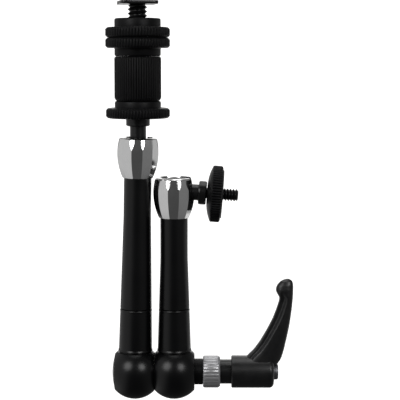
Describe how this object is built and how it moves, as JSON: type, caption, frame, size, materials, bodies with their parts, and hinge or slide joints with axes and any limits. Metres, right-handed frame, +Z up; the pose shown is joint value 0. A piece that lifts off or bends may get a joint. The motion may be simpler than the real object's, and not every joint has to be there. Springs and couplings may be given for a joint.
{
  "type": "articulating friction arm",
  "caption": "Folded friction arm: tapered tubes on a clamped elbow with a side lever, ball studs in slotted caps, a shoe adapter and a camera screw.",
  "frame": {"origin": "centre of the shoe foot's top face", "axes": "+Z up through the foot's top face, the folded arms hang below; +X from the long arm to the short arm and the lever; +Y back, away from the viewer"},
  "size_m": [0.0935, 0.0318, 0.1993],
  "materials": {
    "gloss_black_aluminium": "gloss black anodised",
    "matte_black_aluminium": "matte black anodised, knurled",
    "black_steel": "black oxide",
    "chrome_plate": "polished nickel and chrome plate",
    "nickel_steel": "nickel plate, serrated",
    "plain_steel": "ground",
    "spring_steel": "satin",
    "screw_steel": "satin zinc plate",
    "brass_seat": "turned",
    "nylon": "natural",
    "rubber_pad": "matte",
    "black_nylon_glass": "satin moulded, fine grain"
  },
  "bodies": {
    "shoe_adapter": {"shoe_foot": "black_steel", "adapter_body": "matte_black_aluminium"},
    "upper_ring": {"upper_ring_nut": "matte_black_aluminium"},
    "lower_ring": {"lower_ring_nut": "matte_black_aluminium"},
    "lock_wheel": {"shoe_lock_wheel": "matte_black_aluminium"},
    "long_stud": {"shoe_ball_stud": "black_steel"},
    "long_cap_body": {"long_cap": "chrome_plate"},
    "long_arm": {"long_tube": "gloss_black_aluminium", "long_knuckle": "gloss_black_aluminium", "friction_washer": "nylon", "long_disc_spring": "spring_steel"},
    "long_rod": {"long_push_rod": "plain_steel", "long_ball_seat": "brass_seat"},
    "bolt": {"tie_bolt": "plain_steel", "bolt_end_cap": "gloss_black_aluminium", "long_wedge": "plain_steel"},
    "short_arm": {"short_tube": "gloss_black_aluminium", "short_knuckle": "gloss_black_aluminium", "short_disc_spring": "spring_steel"},
    "short_rod": {"short_push_rod": "plain_steel", "short_ball_seat": "brass_seat"},
    "short_cap_body": {"short_cap": "chrome_plate"},
    "short_stud": {"screw_ball_stud": "black_steel"},
    "disc": {"lock_disc": "matte_black_aluminium", "disc_pad": "rubber_pad"},
    "spacer": {"spacer_sleeve": "matte_black_aluminium", "short_wedge": "plain_steel"},
    "serrated_ring": {"clamp_ring": "nickel_steel"},
    "lever_sleeve": {"lever_insert": "black_steel", "lever_screw": "screw_steel", "lever_spring": "spring_steel"},
    "lever": {"lever_handle": "black_nylon_glass"}
  },
  "joints": [
    {"name": "upper_ring_travel", "type": "slide", "parent": "shoe_adapter", "child": "upper_ring", "axis": [0, 0, 1], "range_m": [0, 0.0067]},
    {"name": "lower_ring_turn", "type": "hinge", "parent": "shoe_adapter", "child": "lower_ring", "pos_m": [0, 0, -0.0226], "axis": [0, 0, 1], "continuous": true},
    {"name": "adapter_turn", "type": "hinge", "parent": "shoe_adapter", "child": "long_stud", "pos_m": [0, 0, -0.045], "axis": [0, 0, 1], "continuous": true},
    {"name": "lock_wheel_turn", "type": "hinge", "parent": "long_stud", "child": "lock_wheel", "pos_m": [0, 0, -0.053], "axis": [0, 0, 1], "continuous": true},
    {"name": "long_ball_tilt", "type": "hinge", "parent": "long_stud", "child": "long_cap_body", "pos_m": [0, 0, -0.07385], "axis": [1, 0, 0], "range_deg": [-10, 94]},
    {"name": "long_arm_swivel", "type": "hinge", "parent": "long_cap_body", "child": "long_arm", "pos_m": [0, 0, -0.07385], "axis": [0.018, 0, 0.9998], "continuous": true},
    {"name": "elbow", "type": "hinge", "parent": "long_arm", "child": "short_arm", "pos_m": [0.00787, 0, -0.18568], "axis": [1, 0, 0], "continuous": true},
    {"name": "short_cap_swivel", "type": "hinge", "parent": "short_arm", "child": "short_cap_body", "pos_m": [0.01775, 0, -0.09378], "axis": [0, 0, 1], "range_deg": [-110, 110]},
    {"name": "short_ball_tilt", "type": "hinge", "parent": "short_cap_body", "child": "short_stud", "pos_m": [0.01775, 0, -0.09378], "axis": [0, -1, 0], "range_deg": [0, 76]},
    {"name": "disc_travel", "type": "slide", "parent": "short_stud", "child": "disc", "axis": [0.9971, 0, -0.0767], "range_m": [-0.0003, 0.006]},
    {"name": "serrated_ring_turn", "type": "hinge", "parent": "spacer", "child": "serrated_ring", "pos_m": [0.0322, 0, -0.18568], "axis": [1, 0, 0], "continuous": true},
    {"name": "lever_turn", "type": "hinge", "parent": "spacer", "child": "lever_sleeve", "pos_m": [0.04085, 0, -0.18568], "axis": [1, 0, 0], "range_deg": [0, 270]},
    {"name": "lever_lift", "type": "slide", "parent": "lever_sleeve", "child": "lever", "axis": [1, 0, 0], "range_m": [0, 0.0035], "stiffness_N_per_m": 800, "springref_m": -0.004, "deforming": ["lever_spring"]},
    {"name": "bolt_draw", "type": "slide", "parent": "long_arm", "child": "bolt", "axis": [1, 0, 0], "range_m": [-0.00038, 0]},
    {"name": "spacer_travel", "type": "slide", "parent": "short_arm", "child": "spacer", "axis": [1, 0, 0], "range_m": [0, 0.00038]},
    {"name": "long_rod_push", "type": "slide", "parent": "long_arm", "child": "long_rod", "axis": [0.018, 0, 0.9998], "range_m": [-0.00022, 0]},
    {"name": "short_rod_push", "type": "slide", "parent": "short_arm", "child": "short_rod", "axis": [0, 0, 1], "range_m": [-0.00022, 0]}
  ],
  "couplings": [
    {"joint": "bolt_draw", "follows": "lever_turn", "m_per_rad": -0.000079577},
    {"joint": "spacer_travel", "follows": "lever_turn", "m_per_rad": 0.000079577},
    {"joint": "long_rod_push", "follows": "lever_turn", "m_per_rad": -0.000045944},
    {"joint": "short_rod_push", "follows": "lever_turn", "m_per_rad": -0.000045944}
  ]
}
